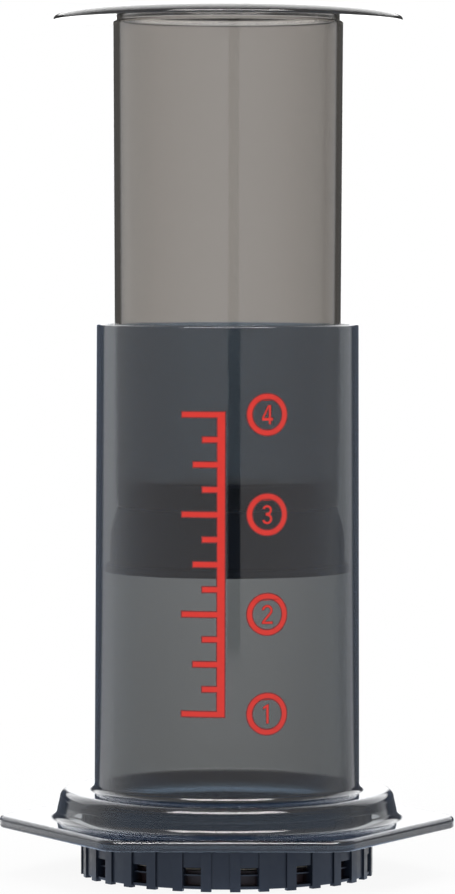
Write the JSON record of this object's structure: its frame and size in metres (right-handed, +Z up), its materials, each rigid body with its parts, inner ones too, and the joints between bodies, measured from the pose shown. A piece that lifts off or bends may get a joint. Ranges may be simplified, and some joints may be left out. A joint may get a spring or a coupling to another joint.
{
  "type": "piston coffee press",
  "caption": "Manual piston coffee press: clear tube chamber with hexagonal flange, twist-on perforated filter cap, and hollow plunger with rubber seal.",
  "frame": {"origin": "centre of the filter cap's feet, on the surface the press stands on", "axes": "+Z up along the press's axis, -Y towards the camera side with the printed marks, +X to the right of it"},
  "size_m": [0.1078, 0.0952, 0.205],
  "materials": {
    "smoke_plastic": "clear smoke-grey moulded plastic, polished",
    "seal_rubber": "satin",
    "cap_plastic": "fine satin",
    "filter_paper": "plain uncoated filter paper",
    "red_print": "red ink printed on the tube"
  },
  "bodies": {
    "chamber": {"chamber": "smoke_plastic", "dose_ring_1": "red_print", "dose_ring_2": "red_print", "dose_ring_3": "red_print", "dose_ring_4": "red_print", "dose_numeral_1": "red_print", "dose_numeral_2": "red_print", "dose_numeral_3": "red_print", "dose_numeral_4": "red_print", "measuring_scale": "red_print"},
    "seal": {"seal": "seal_rubber"},
    "plunger": {"plunger": "smoke_plastic"},
    "cap": {"filter_cap": "cap_plastic", "paper_filter": "filter_paper"}
  },
  "joints": [
    {"name": "press_slide", "type": "slide", "parent": "chamber", "child": "seal", "axis": [0, 0, 1], "range_m": [-0.0658, 0.0565]},
    {"name": "plunger_turn", "type": "hinge", "parent": "seal", "child": "plunger", "pos_m": [0, 0, 0.0783], "axis": [0, 0, 1], "continuous": true},
    {"name": "cap_twist", "type": "hinge", "parent": "chamber", "child": "cap", "pos_m": [0, 0, 0.0079], "axis": [0, 0, 1], "range_deg": [-45, 0]}
  ]
}
